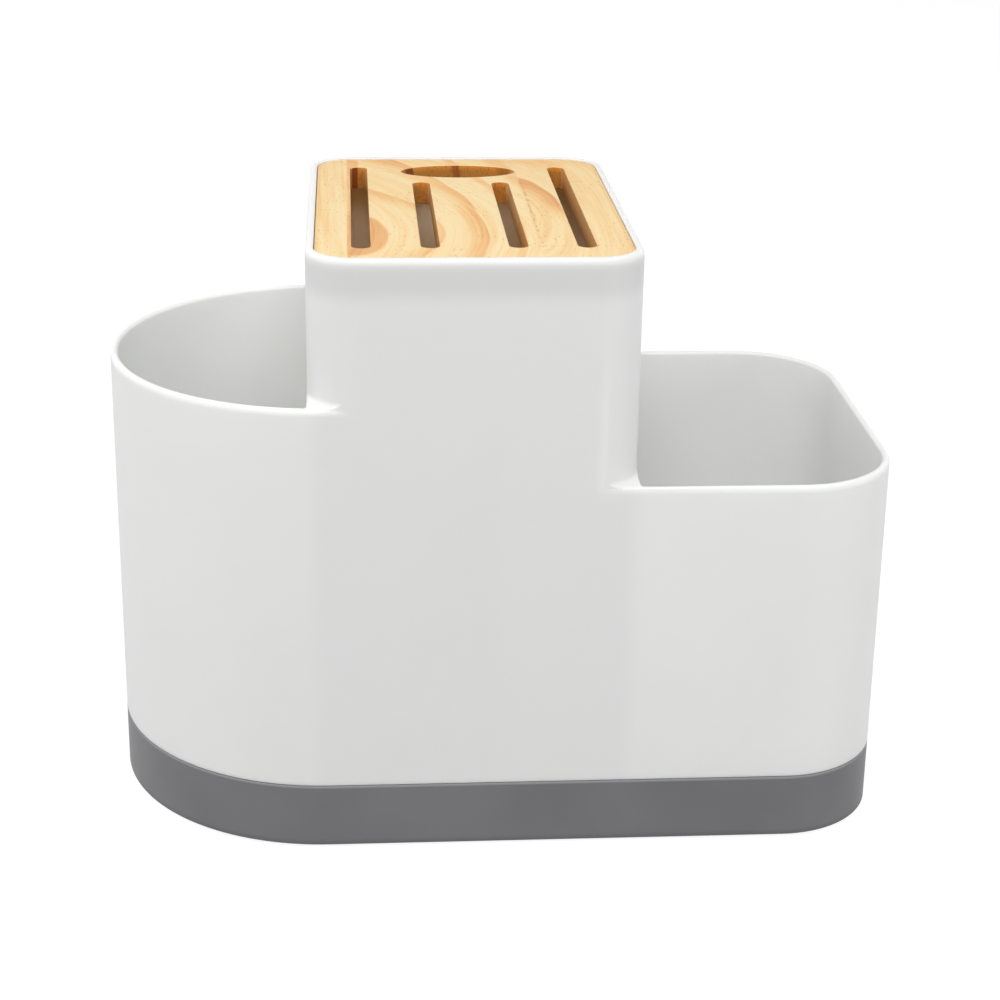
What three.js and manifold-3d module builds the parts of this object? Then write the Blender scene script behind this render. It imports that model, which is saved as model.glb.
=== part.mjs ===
// Kitchen utensil rack: a moulded caddy with three wells that stands on a drip tray, with a wooden
// knife insert in the top of its tall middle well. Millimetres, +Z up, the front towards -Y.
// The origin lies under the middle of the rack, on the surface that its feet stand on.

import * as THREE from 'three';
import { mergeVertices } from 'three/addons/utils/BufferGeometryUtils.js';
import Module from 'manifold-3d';

const wasm = await Module();
wasm.setup();

// Plan of the rack, from left to right
const LEFT_WELL_LENGTH = 67;
const TOWER_WIDTH = 105.6;
const RIGHT_WELL_LENGTH = 87.4;
const DEPTH = 145;
const ROUND_END_OVERLAP = 5.5;
const RIGHT_CORNER_RADIUS = 35;
const TOWER_CORNER_RADIUS = 15.5;

// Heights, each from the top of the piece below
const FOOT_DROP = 1;
const TRAY_HEIGHT = 22.1;
const LEFT_WALL_HEIGHT = 131.2;
const RIGHT_WALL_HEIGHT = 104;
const TOWER_WALL_HEIGHT = 179.2;

// Caddy moulding
const WALL = 2.6;
const RIM_ROUND = 1.3;
const FLOOR_THICKNESS = 2.4;
const SKIRT_DEPTH = 8;
const SKIRT_THICKNESS = 1.8;
const SKIRT_CLEARANCE = 0.4;

// Drain slots in the floors of the wells
const DRAIN_WIDTH = 3.6;
const DRAIN_LENGTH = 28;
const DRAIN_PITCH_X = 20;
const DRAIN_PITCH_Y = 40;
const DRAIN_ROWS = 3;
const DRAIN_MARGIN = 6;

// Drip tray and its feet
const TRAY_WALL = 2.6;
const TRAY_FLOOR = 2.6;
const FOOT_RADIUS = 8;
const FOOT_RECESS = 1;
const FOOT_CLEARANCE = 0.3;
const FOOT_FROM_LEFT_END = 45;
const FOOT_FROM_RIGHT_END = 30;
const FOOT_FROM_SIDE = 27.5;

// Knife insert
const INSERT_THICKNESS = 8;
const INSERT_RECESS = 0.6;
const INSERT_CLEARANCE = 0.4;
const INSERT_EASE = 0.4;
const SLOT_WIDTH = 6;
const SLOT_FRONT_MARGIN = 16;
const OUTER_SLOT_SIDE_MARGIN = 14.4;
const OUTER_SLOT_BACK_MARGIN = 15;
const INNER_SLOT_OFFSET = 13.8;
const INNER_SLOT_TO_HOLE = 6.8;
const HOLE_WIDTH = 40.5;
const HOLE_DEPTH = 19.7;
const HOLE_BACK_MARGIN = 12;

// Half the number of flats on a wide bend, a tower corner and a slot end, then the flats of an eased
// edge and of a foot
const WIDE_STEPS = 10;
const CORNER_STEPS = 4;
const SLOT_STEPS = 3;
const EDGE_STEPS = 2;
const FOOT_SIDES = 24;

// Spare length that a cutter runs past the face it cuts
const CUT = 5;

// Places worked out from the sizes
const LENGTH = LEFT_WELL_LENGTH + TOWER_WIDTH + RIGHT_WELL_LENGTH;
const LEFT_X = -LENGTH / 2;
const RIGHT_X = LENGTH / 2;
const TOWER_LEFT_X = LEFT_X + LEFT_WELL_LENGTH;
const TOWER_RIGHT_X = RIGHT_X - RIGHT_WELL_LENGTH;
const TOWER_X = (TOWER_LEFT_X + TOWER_RIGHT_X) / 2;
const ROUND_END_X = TOWER_LEFT_X + ROUND_END_OVERLAP;
const HALF_DEPTH = DEPTH / 2;

const TRAY_Z = FOOT_DROP;
const SEAM_Z = TRAY_Z + TRAY_HEIGHT;
const FLOOR_Z = SEAM_Z + FLOOR_THICKNESS;
const LEFT_RIM_Z = SEAM_Z + LEFT_WALL_HEIGHT;
const RIGHT_RIM_Z = SEAM_Z + RIGHT_WALL_HEIGHT;
const TOWER_TOP_Z = SEAM_Z + TOWER_WALL_HEIGHT;
const INSERT_TOP_Z = TOWER_TOP_Z - INSERT_RECESS;
const INSERT_Z = INSERT_TOP_Z - INSERT_THICKNESS;

const WHITE_PLASTIC = { color: 0xe4e4e2, roughness: 0.42, metalness: 0 };
const GREY_PLASTIC = { color: 0x757677, roughness: 0.5, metalness: 0 };
const PINE = { color: 0xf0cf9a, roughness: 0.6, metalness: 0 };
const RUBBER = { color: 0x2b2b2c, roughness: 0.85, metalness: 0 };

// Plan of the rack, drawn in by an inset: a round left end and a square right end with rounded corners
function rackPlan(inset) {
  const half = HALF_DEPTH - inset;
  const right = RIGHT_X - inset;
  const radius = Math.min(RIGHT_CORNER_RADIUS - inset, half);
  const plan = new THREE.Shape();
  plan.moveTo(ROUND_END_X, -half);
  plan.absarc(right - radius, -half + radius, radius, -Math.PI / 2, 0, false);
  plan.absarc(right - radius, half - radius, radius, 0, Math.PI / 2, false);
  plan.absellipse(ROUND_END_X, 0, ROUND_END_X - LEFT_X - inset, half, Math.PI / 2, 1.5 * Math.PI, false, 0);
  return plan;
}

// Half of the rack's depth at a place along its length, at the same inset
function halfDepthAt(x, inset) {
  const half = HALF_DEPTH - inset;
  const reach = ROUND_END_X - LEFT_X - inset;
  const radius = Math.min(RIGHT_CORNER_RADIUS - inset, half);
  const cornerX = RIGHT_X - inset - radius;
  if (x < ROUND_END_X) {
    return half * Math.sqrt(Math.max(0, 1 - ((x - ROUND_END_X) / reach) ** 2));
  }
  if (x > cornerX) {
    return half - radius + Math.sqrt(Math.max(0, radius ** 2 - (x - cornerX) ** 2));
  }
  return half;
}

// Rounded square of the tower, drawn in by an inset
function towerPlan(inset) {
  const left = TOWER_LEFT_X + inset;
  const right = TOWER_RIGHT_X - inset;
  const half = HALF_DEPTH - inset;
  const radius = TOWER_CORNER_RADIUS - inset;
  const plan = new THREE.Shape();
  plan.absarc(right - radius, -half + radius, radius, -Math.PI / 2, 0, false);
  plan.absarc(right - radius, half - radius, radius, 0, Math.PI / 2, false);
  plan.absarc(left + radius, half - radius, radius, Math.PI / 2, Math.PI, false);
  plan.absarc(left + radius, -half + radius, radius, Math.PI, 1.5 * Math.PI, false);
  plan.closePath();
  return plan;
}

// The tower's plan with each rounded corner cut straight across
function betweenPostsPlan(inset) {
  const left = TOWER_LEFT_X + inset;
  const right = TOWER_RIGHT_X - inset;
  const half = HALF_DEPTH - inset;
  const post = TOWER_CORNER_RADIUS - inset;
  const plan = new THREE.Shape();
  plan.moveTo(right - post, -half);
  plan.lineTo(right, -half + post);
  plan.lineTo(right, half - post);
  plan.lineTo(right - post, half);
  plan.lineTo(left + post, half);
  plan.lineTo(left, half - post);
  plan.lineTo(left, -half + post);
  plan.lineTo(left + post, -half);
  plan.closePath();
  return plan;
}

// Slot with round ends that runs from front to back
function slotPlan(x, yFront, yBack, width) {
  const radius = width / 2;
  const plan = new THREE.Shape();
  plan.absarc(x, yFront + radius, radius, Math.PI, 2 * Math.PI, false);
  plan.absarc(x, yBack - radius, radius, 0, Math.PI, false);
  plan.closePath();
  return plan;
}

function ovalPlan(x, y, width, depth) {
  const plan = new THREE.Shape();
  plan.absellipse(x, y, width / 2, depth / 2, 0, 2 * Math.PI, false, 0);
  return plan;
}

function solidOf(geometry) {
  geometry.deleteAttribute('normal');
  geometry.deleteAttribute('uv');
  const merged = mergeVertices(geometry, 1e-4);
  const vertProperties = new Float32Array(merged.getAttribute('position').array);
  const triVerts = new Uint32Array(merged.getIndex().array);
  return new wasm.Manifold(new wasm.Mesh({ numProp: 3, vertProperties, triVerts }));
}

function geometryOf(solid) {
  const mesh = solid.getMesh();
  const geometry = new THREE.BufferGeometry();
  geometry.setAttribute('position', new THREE.BufferAttribute(new Float32Array(mesh.vertProperties), 3));
  geometry.setIndex(new THREE.BufferAttribute(new Uint32Array(mesh.triVerts), 1));
  geometry.computeVertexNormals();
  return geometry;
}

// Upright solid on a plan; its top and bottom edges are eased where an edge size is given
function prism(plan, zLow, zHigh, curveSegments, edge = 0) {
  const geometry = new THREE.ExtrudeGeometry(plan, {
    depth: zHigh - zLow - 2 * edge,
    curveSegments,
    bevelEnabled: edge > 0,
    bevelThickness: edge,
    bevelSize: edge,
    bevelOffset: -edge,
    bevelSegments: EDGE_STEPS,
  });
  geometry.translate(0, 0, zLow + edge);
  return solidOf(geometry);
}

function block(xLow, xHigh, yLow, yHigh, zLow, zHigh) {
  const geometry = new THREE.BoxGeometry(xHigh - xLow, yHigh - yLow, zHigh - zLow);
  geometry.translate((xLow + xHigh) / 2, (yLow + yHigh) / 2, (zLow + zHigh) / 2);
  return solidOf(geometry);
}

// Block over the full depth of the rack between two places along its length
function lengthwise(xLow, xHigh, zLow, zHigh) {
  return block(xLow, xHigh, -HALF_DEPTH - CUT, HALF_DEPTH + CUT, zLow, zHigh);
}

// Outside of the caddy: a left part, a right part and the tower, each with its own rim height
function caddyOutside() {
  const low = SEAM_Z - RIM_ROUND - CUT;
  const left = prism(rackPlan(0), low, LEFT_RIM_Z, WIDE_STEPS, RIM_ROUND)
    .intersect(lengthwise(LEFT_X - CUT, TOWER_X, low - CUT, LEFT_RIM_Z + CUT));
  const right = prism(rackPlan(0), low, RIGHT_RIM_Z, WIDE_STEPS, RIM_ROUND)
    .intersect(lengthwise(TOWER_X, RIGHT_X + CUT, low - CUT, RIGHT_RIM_Z + CUT));
  const tower = prism(towerPlan(0), low, TOWER_TOP_Z, CORNER_STEPS, RIM_ROUND);
  return left.add(right).add(tower);
}

// Walls of the moulding above its floor, between two places along its length
function wallsBetween(xLow, xHigh) {
  return caddyOutside().intersect(lengthwise(xLow, xHigh, FLOOR_Z, TOWER_TOP_Z + CUT));
}

// Wall of one side well, open to the tower
function sideWall(xLow, xHigh, rimZ) {
  return wallsBetween(xLow, xHigh).subtract(prism(rackPlan(WALL), SEAM_Z, rimZ + CUT, WIDE_STEPS));
}

// Tower: its corners are filled below the knife insert, which rests on these four posts
function towerWall() {
  const high = TOWER_TOP_Z + CUT;
  return wallsBetween(TOWER_LEFT_X, TOWER_RIGHT_X)
    .subtract(prism(betweenPostsPlan(WALL), SEAM_Z, high, CORNER_STEPS))
    .subtract(prism(towerPlan(WALL), INSERT_Z, high, CORNER_STEPS));
}

// Skirt under the caddy's floor that drops inside the tray's wall, between two places along its length
function skirtBetween(xLow, xHigh) {
  const outer = TRAY_WALL + SKIRT_CLEARANCE;
  const low = SEAM_Z - SKIRT_DEPTH;
  const hollow = prism(rackPlan(outer + SKIRT_THICKNESS), low - CUT, SEAM_Z + CUT, WIDE_STEPS);
  const ring = prism(rackPlan(outer), low, SEAM_Z, WIDE_STEPS).subtract(hollow);
  return ring.intersect(lengthwise(xLow, xHigh, low - CUT, SEAM_Z + CUT));
}

// Drain slots that fit on one well's floor, in columns along X and rows along Y
function drainsBetween(xLow, xHigh, inset) {
  const columns = Math.max(1, Math.floor((xHigh - xLow - 2 * DRAIN_MARGIN) / DRAIN_PITCH_X));
  const drains = [];
  for (let column = 0; column < columns; column += 1) {
    const x = (xLow + xHigh) / 2 + (column - (columns - 1) / 2) * DRAIN_PITCH_X;
    const nearEnd = Math.min(halfDepthAt(x - DRAIN_WIDTH, inset), halfDepthAt(x + DRAIN_WIDTH, inset));
    for (let row = 0; row < DRAIN_ROWS; row += 1) {
      const y = (row - (DRAIN_ROWS - 1) / 2) * DRAIN_PITCH_Y;
      if (Math.abs(y) + DRAIN_LENGTH / 2 + DRAIN_MARGIN < nearEnd) {
        const plan = slotPlan(x, y - DRAIN_LENGTH / 2, y + DRAIN_LENGTH / 2, DRAIN_WIDTH);
        drains.push(prism(plan, SEAM_Z - CUT, FLOOR_Z + CUT, SLOT_STEPS));
      }
    }
  }
  return drains;
}

// Floor of all three wells, which rests on the tray's rim
function wellFloor() {
  const underFloor = TRAY_WALL + SKIRT_CLEARANCE + SKIRT_THICKNESS;
  const drains = [
    ...drainsBetween(LEFT_X + underFloor, TOWER_LEFT_X, underFloor),
    ...drainsBetween(TOWER_LEFT_X + WALL, TOWER_RIGHT_X - WALL, underFloor),
    ...drainsBetween(TOWER_RIGHT_X, RIGHT_X - underFloor, underFloor),
  ];
  let floor = prism(rackPlan(0), SEAM_Z, FLOOR_Z, WIDE_STEPS);
  for (const drain of drains) {
    floor = floor.subtract(drain);
  }
  return floor;
}

function footPlaces() {
  const leftX = LEFT_X + FOOT_FROM_LEFT_END;
  const rightX = RIGHT_X - FOOT_FROM_RIGHT_END;
  const y = HALF_DEPTH - FOOT_FROM_SIDE;
  return {
    foot_front_left: [leftX, -y],
    foot_front_right: [rightX, -y],
    foot_back_left: [leftX, y],
    foot_back_right: [rightX, y],
  };
}

function foot() {
  const height = FOOT_DROP + FOOT_RECESS;
  const geometry = new THREE.CylinderGeometry(FOOT_RADIUS, FOOT_RADIUS, height, FOOT_SIDES);
  geometry.rotateX(Math.PI / 2);
  geometry.translate(0, 0, height / 2);
  return geometry;
}

function dripTray() {
  let tray = prism(rackPlan(0), TRAY_Z, SEAM_Z, WIDE_STEPS);
  tray = tray.subtract(prism(rackPlan(TRAY_WALL), TRAY_Z + TRAY_FLOOR, SEAM_Z + CUT, WIDE_STEPS));
  const recessWidth = 2 * (FOOT_RADIUS + FOOT_CLEARANCE);
  for (const [x, y] of Object.values(footPlaces())) {
    const plan = ovalPlan(x, y, recessWidth, recessWidth);
    tray = tray.subtract(prism(plan, TRAY_Z - CUT, TRAY_Z + FOOT_RECESS, FOOT_SIDES / 2));
  }
  return tray;
}

// Cutter through the full thickness of the knife insert
function throughInsert(plan, curveSegments) {
  return prism(plan, INSERT_Z - CUT, INSERT_TOP_Z + CUT, curveSegments);
}

// Slab with four knife slots that start in line at the front, and an oval hole behind the short ones
function knifeInsert() {
  const frontY = -HALF_DEPTH + SLOT_FRONT_MARGIN;
  const outerBackY = HALF_DEPTH - OUTER_SLOT_BACK_MARGIN;
  const outerOffset = (TOWER_WIDTH - SLOT_WIDTH) / 2 - OUTER_SLOT_SIDE_MARGIN;
  const holeY = HALF_DEPTH - HOLE_BACK_MARGIN - HOLE_DEPTH / 2;
  const innerBackY = holeY - HOLE_DEPTH / 2 - INNER_SLOT_TO_HOLE;
  let slab = prism(towerPlan(WALL + INSERT_CLEARANCE), INSERT_Z, INSERT_TOP_Z, CORNER_STEPS, INSERT_EASE);
  slab = slab.subtract(throughInsert(ovalPlan(TOWER_X, holeY, HOLE_WIDTH, HOLE_DEPTH), WIDE_STEPS));
  for (const side of [-1, 1]) {
    const outer = slotPlan(TOWER_X + side * outerOffset, frontY, outerBackY, SLOT_WIDTH);
    const inner = slotPlan(TOWER_X + side * INNER_SLOT_OFFSET, frontY, innerBackY, SLOT_WIDTH);
    slab = slab.subtract(throughInsert(outer, SLOT_STEPS)).subtract(throughInsert(inner, SLOT_STEPS));
  }
  return slab;
}

function named(name, geometry, finish) {
  const mesh = new THREE.Mesh(geometry, new THREE.MeshStandardMaterial(finish));
  mesh.name = name;
  return mesh;
}

const rack = new THREE.Group();
const moulding = {
  caddy_floor: wellFloor(),
  caddy_left_wall: sideWall(LEFT_X - CUT, TOWER_LEFT_X, LEFT_RIM_Z),
  caddy_tower: towerWall(),
  caddy_right_wall: sideWall(TOWER_RIGHT_X, RIGHT_X + CUT, RIGHT_RIM_Z),
  caddy_left_skirt: skirtBetween(LEFT_X, TOWER_LEFT_X),
  caddy_right_skirt: skirtBetween(TOWER_LEFT_X, RIGHT_X),
};
for (const [name, solid] of Object.entries(moulding)) {
  rack.add(named(name, geometryOf(solid), WHITE_PLASTIC));
}
rack.add(named('drip_tray', geometryOf(dripTray()), GREY_PLASTIC));
rack.add(named('knife_insert', geometryOf(knifeInsert()), PINE));
for (const [name, [x, y]] of Object.entries(footPlaces())) {
  const mesh = named(name, foot(), RUBBER);
  mesh.position.set(x, y, 0);
  rack.add(mesh);
}

export default rack;
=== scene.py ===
# Looks of the kitchen utensil rack, built around its solids. Lengths in millimetres unless a name says
# otherwise, turned into metres as each mesh is made. +Z up, the front towards -Y.
import math

import bmesh
import bpy
from mathutils import Matrix, Vector

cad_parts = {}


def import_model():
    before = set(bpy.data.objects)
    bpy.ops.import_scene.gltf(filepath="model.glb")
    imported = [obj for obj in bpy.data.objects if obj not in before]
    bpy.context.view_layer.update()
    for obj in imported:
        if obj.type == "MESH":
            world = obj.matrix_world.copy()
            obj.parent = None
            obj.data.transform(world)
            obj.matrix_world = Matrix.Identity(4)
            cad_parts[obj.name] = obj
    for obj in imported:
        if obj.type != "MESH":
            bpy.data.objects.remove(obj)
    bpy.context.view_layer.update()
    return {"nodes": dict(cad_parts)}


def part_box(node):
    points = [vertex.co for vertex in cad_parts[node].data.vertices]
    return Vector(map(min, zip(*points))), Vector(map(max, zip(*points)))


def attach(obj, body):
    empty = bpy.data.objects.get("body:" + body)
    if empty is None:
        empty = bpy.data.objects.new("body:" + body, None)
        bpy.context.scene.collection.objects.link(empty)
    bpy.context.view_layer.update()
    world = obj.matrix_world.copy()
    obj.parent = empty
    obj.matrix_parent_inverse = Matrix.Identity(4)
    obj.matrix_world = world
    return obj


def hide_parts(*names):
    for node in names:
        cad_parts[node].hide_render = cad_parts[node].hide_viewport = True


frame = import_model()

MM = 0.001


def node_box(node):
    """Lowest and highest corner of a solid, in millimetres."""
    low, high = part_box(node)
    return low / MM, high / MM


# The moulding's measures, as in the solids
WALL = 2.6
ROUND_END_OVERLAP = 5.5
RIGHT_CORNER_RADIUS = 35.0
TOWER_CORNER_RADIUS = 15.5
SKIRT_DEPTH = 8.0
SKIRT_THICKNESS = 1.8
SKIRT_CLEARANCE = 0.4
DRAIN_WIDTH = 3.6
DRAIN_LENGTH = 28.0
DRAIN_PITCH_X = 20.0
DRAIN_PITCH_Y = 40.0
DRAIN_ROWS = 3
DRAIN_MARGIN = 6.0

# Measures of the tray, the feet and the insert, as in the solids
TRAY_WALL = 2.6
TRAY_FLOOR = 2.6
FOOT_RECESS = 1.0
FOOT_CLEARANCE = 0.3
SLOT_WIDTH = 6.0
SLOT_FRONT_MARGIN = 16.0
OUTER_SLOT_SIDE_MARGIN = 14.4
OUTER_SLOT_BACK_MARGIN = 15.0
INNER_SLOT_OFFSET = 13.8
INNER_SLOT_TO_HOLE = 6.8
HOLE_WIDTH = 40.5
HOLE_DEPTH = 19.7
HOLE_BACK_MARGIN = 12.0

# Rounded edges, and the gap that shows round the wood
RIM_OUTER_EDGE = 1.3
RIM_OUTER_DROP = 2.4
RIM_INNER_EDGE = 1.2
TOWER_INNER_EDGE = 0.3
TOWER_FOOT_FILLET = 2.0
SEAM_EDGE = 0.35
TRAY_TOP_EDGE = 1.0
TRAY_BOTTOM_EDGE = 0.3
WELL_FILLET = 4.0
WELL_CORNER = 1.2
INSERT_EDGE = 0.25
INSERT_GAP = 0.25
SLOT_EDGE = 0.35
FOOT_EDGE = 0.5
SKIRT_EDGE = 0.4

# Points on curves
ROUND_STEPS = 72
CORNER_STEPS = 20
EDGE_STEPS = 5
SMALL_STEPS = 4
OVAL_STEPS = 64

# How far a cutter runs past what it cuts, and how far the side parts reach into each other under the tower
CUT = 5.0
SPLIT_OVERLAP = 8.0

# Points nearer than this are one, and slivers thinner than this are dissolved
SAME_POINT = 0.0005
SLIVER = 0.002
SHARP_ANGLE = math.radians(40)

# Places, taken from the frame
tray_low, tray_high = node_box("drip_tray")
tower_low, tower_high = node_box("caddy_tower")
insert_low, insert_high = node_box("knife_insert")

LEFT_X = tray_low.x
RIGHT_X = tray_high.x
HALF_DEPTH = tray_high.y
TRAY_Z = tray_low.z
SEAM_Z = tray_high.z
FLOOR_Z = node_box("caddy_floor")[1].z
LEFT_RIM_Z = node_box("caddy_left_wall")[1].z
RIGHT_RIM_Z = node_box("caddy_right_wall")[1].z
TOWER_TOP_Z = tower_high.z
INSERT_Z = insert_low.z
INSERT_TOP_Z = insert_high.z
TOWER_LEFT_X = tower_low.x
TOWER_RIGHT_X = tower_high.x
TOWER_X = (TOWER_LEFT_X + TOWER_RIGHT_X) / 2
TOWER_HALF_WIDTH = (TOWER_RIGHT_X - TOWER_LEFT_X) / 2
ROUND_END_X = TOWER_LEFT_X + ROUND_END_OVERLAP

# Camera of the photograph: a pinhole fitted to the outlines, with the image taken as 1000 x 1000
IMAGE_SIZE = 1000
FOCAL_PIXELS = 2119.93
CENTRE_PIXEL_Y = 425.0
SENSOR_WIDTH = 36.0
CAMERA_PLACE = (-49.64, -693.70, 369.91)
CAMERA_PITCH = 19.5445
CAMERA_YAW = 4.3046
CAMERA_ROLL = 0.8946


# Outlines in plan, each drawn in by an inset

def arc(centre_x, centre_y, radius_x, radius_y, start, end, steps):
    """Points on an elliptical arc, both ends included, angles in degrees."""
    angles = [math.radians(start + (end - start) * i / steps) for i in range(steps + 1)]
    return [(centre_x + radius_x * math.cos(a), centre_y + radius_y * math.sin(a)) for a in angles]


def rounded_box(x_low, x_high, y_low, y_high, radius, steps):
    """Rectangle with four rounded corners."""
    return (
        arc(x_high - radius, y_low + radius, radius, radius, -90, 0, steps)
        + arc(x_high - radius, y_high - radius, radius, radius, 0, 90, steps)
        + arc(x_low + radius, y_high - radius, radius, radius, 90, 180, steps)
        + arc(x_low + radius, y_low + radius, radius, radius, 180, 270, steps)
    )


def right_corners(inset):
    half = HALF_DEPTH - inset
    radius = RIGHT_CORNER_RADIUS - inset
    x = RIGHT_X - inset - radius
    front = arc(x, -half + radius, radius, radius, -90, 0, CORNER_STEPS)
    back = arc(x, half - radius, radius, radius, 0, 90, CORNER_STEPS)
    return front + back


def round_end(inset):
    half = HALF_DEPTH - inset
    return arc(ROUND_END_X, 0, ROUND_END_X - LEFT_X - inset, half, 90, 270, ROUND_STEPS)


def rack_plan(inset):
    return right_corners(inset) + round_end(inset)


def left_plan(inset):
    half = HALF_DEPTH - inset
    split = TOWER_X + SPLIT_OVERLAP
    return [(split, -half), (split, half)] + round_end(inset)


def right_plan(inset):
    half = HALF_DEPTH - inset
    split = TOWER_X - SPLIT_OVERLAP
    return right_corners(inset) + [(split, half), (split, -half)]


def tower_plan(inset):
    half = HALF_DEPTH - inset
    radius = TOWER_CORNER_RADIUS - inset
    return rounded_box(TOWER_LEFT_X + inset, TOWER_RIGHT_X - inset, -half, half, radius, CORNER_STEPS)


def between_posts_plan(inset):
    """The tower's plan with each rounded corner cut straight across, with as many points."""
    rounded = tower_plan(inset)
    points = []
    for first in range(0, len(rounded), CORNER_STEPS + 1):
        (x0, y0), (x1, y1) = rounded[first], rounded[first + CORNER_STEPS]
        shares = [i / CORNER_STEPS for i in range(CORNER_STEPS + 1)]
        points += [(x0 + (x1 - x0) * share, y0 + (y1 - y0) * share) for share in shares]
    return points


def left_well_plan(inset):
    """Inside of the left well, closed by the tower's side wall."""
    half = HALF_DEPTH - inset
    reach = ROUND_END_X - LEFT_X - inset
    x = TOWER_LEFT_X - max(0.0, inset - WALL) - WELL_CORNER
    start = math.degrees(math.acos((x - ROUND_END_X) / reach))
    y = half * math.sin(math.radians(start)) - WELL_CORNER
    front = arc(x, -y, WELL_CORNER, WELL_CORNER, -90, 0, SMALL_STEPS)
    back = arc(x, y, WELL_CORNER, WELL_CORNER, 0, 90, SMALL_STEPS)
    end = arc(ROUND_END_X, 0, reach, half, start, 360 - start, ROUND_STEPS)
    return front + back + end[1:-1]


def right_well_plan(inset):
    """Inside of the right well, closed by the tower's side wall."""
    half = HALF_DEPTH - inset
    x = TOWER_RIGHT_X + max(0.0, inset - WALL) + WELL_CORNER
    back = arc(x, half - WELL_CORNER, WELL_CORNER, WELL_CORNER, 90, 180, SMALL_STEPS)
    front = arc(x, -half + WELL_CORNER, WELL_CORNER, WELL_CORNER, 180, 270, SMALL_STEPS)
    return right_corners(inset) + back + front


def slot_plan(x, y_front, y_back, width):
    """Slot with round ends that runs from front to back, as a function of the inset."""
    def plan(inset):
        radius = width / 2 - inset
        front = arc(x, y_front + width / 2, radius, radius, 180, 360, 2 * EDGE_STEPS)
        back = arc(x, y_back - width / 2, radius, radius, 0, 180, 2 * EDGE_STEPS)
        return front + back
    return plan


def oval_plan(x, y, width, depth):
    def plan(inset):
        return arc(x, y, width / 2 - inset, depth / 2 - inset, 0, 360, OVAL_STEPS)[:-1]
    return plan


# Solids lofted through rings of points

def quarter(steps=EDGE_STEPS):
    """Pairs (sine, cosine) over a quarter turn."""
    angles = [math.pi / 2 * i / steps for i in range(steps + 1)]
    return [(math.sin(a), math.cos(a)) for a in angles]


def rounded_rings(plan, z_low, z_high, low_edge, high_edge, high_drop=None):
    """Rings of an upright solid with rounded edges. The top one may turn down more slowly than in."""
    drop = high_edge if high_drop is None else high_drop
    low = [(plan(low_edge * (1 - s)), z_low + low_edge * (1 - c)) for s, c in quarter()]
    high = [(plan(high_edge * (1 - c)), z_high - drop * (1 - s)) for s, c in quarter()]
    return low + high


def hollow_rings(plan, z_floor, z_rim, wall, fillet, rim_edge):
    """Rings of a cutter with a filleted floor, which leaves a rounded edge on the rim."""
    low = [(plan(wall + fillet * (1 - s)), z_floor + fillet * (1 - c)) for s, c in quarter()]
    high = [(plan(wall - rim_edge * (1 - c)), z_rim - rim_edge * (1 - s)) for s, c in quarter()]
    return low + high + [(plan(wall - rim_edge), z_rim + CUT)]


def through_rings(plan, z_low, z_high, edge):
    """Rings of a cutter that goes right through and leaves both edges rounded."""
    low = [(plan(-edge * (1 - s)), z_low + edge * (1 - c)) for s, c in quarter(SMALL_STEPS)]
    high = [(plan(-edge * (1 - c)), z_high - edge * (1 - s)) for s, c in quarter(SMALL_STEPS)]
    return [(plan(-edge), z_low - CUT)] + low + high + [(plan(-edge), z_high + CUT)]


def straight_rings(plan, z_low, z_high):
    return [(plan(0.0), z_low), (plan(0.0), z_high)]


def add_loft(builder, rings, closed=False):
    """Adds rings of equal count to a mesh: capped at both ends, or closed on themselves."""
    loops = []
    for points, z in rings:
        loops.append([builder.verts.new((x * MM, y * MM, z * MM)) for x, y in points])
    pairs = list(zip(loops, loops[1:]))
    if closed:
        pairs.append((loops[-1], loops[0]))
    else:
        builder.faces.new(list(reversed(loops[0])))
        builder.faces.new(loops[-1])
    for lower, upper in pairs:
        count = len(lower)
        for i in range(count):
            j = (i + 1) % count
            builder.faces.new((lower[i], lower[j], upper[j], upper[i]))


def loft_object(name, *ring_lists, closed=False):
    """Object made of one or more separate lofts."""
    builder = bmesh.new()
    for rings in ring_lists:
        add_loft(builder, rings, closed)
    bmesh.ops.remove_doubles(builder, verts=builder.verts, dist=SAME_POINT * MM)
    bmesh.ops.recalc_face_normals(builder, faces=builder.faces)
    mesh = bpy.data.meshes.new(name)
    builder.to_mesh(mesh)
    builder.free()
    made = bpy.data.objects.new(name, mesh)
    bpy.context.scene.collection.objects.link(made)
    return made


def combine(target, tool, operation):
    """Joins a tool to the target or cuts it away, and removes the tool."""
    modifier = target.modifiers.new("combine", "BOOLEAN")
    modifier.operation = operation
    modifier.solver = "EXACT"
    modifier.object = tool
    depsgraph = bpy.context.evaluated_depsgraph_get()
    mesh = bpy.data.meshes.new_from_object(target.evaluated_get(depsgraph))
    target.modifiers.clear()
    old_meshes = [target.data, tool.data]
    target.data = mesh
    bpy.data.objects.remove(tool)
    for old in old_meshes:
        bpy.data.meshes.remove(old)
    mesh.name = target.name


def smooth(piece):
    """Smooth shading with hard edges kept hard and flat faces kept flat."""
    builder = bmesh.new()
    builder.from_mesh(piece.data)
    bmesh.ops.dissolve_degenerate(builder, dist=SLIVER * MM, edges=builder.edges)
    for face in builder.faces:
        face.smooth = True
    for edge in builder.edges:
        edge.smooth = len(edge.link_faces) == 2 and edge.calc_face_angle(0.0) < SHARP_ANGLE
    builder.to_mesh(piece.data)
    builder.free()
    weighted = piece.modifiers.new("flat_faces", "WEIGHTED_NORMAL")
    weighted.keep_sharp = True
    weighted.weight = 100


# The white moulding

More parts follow.
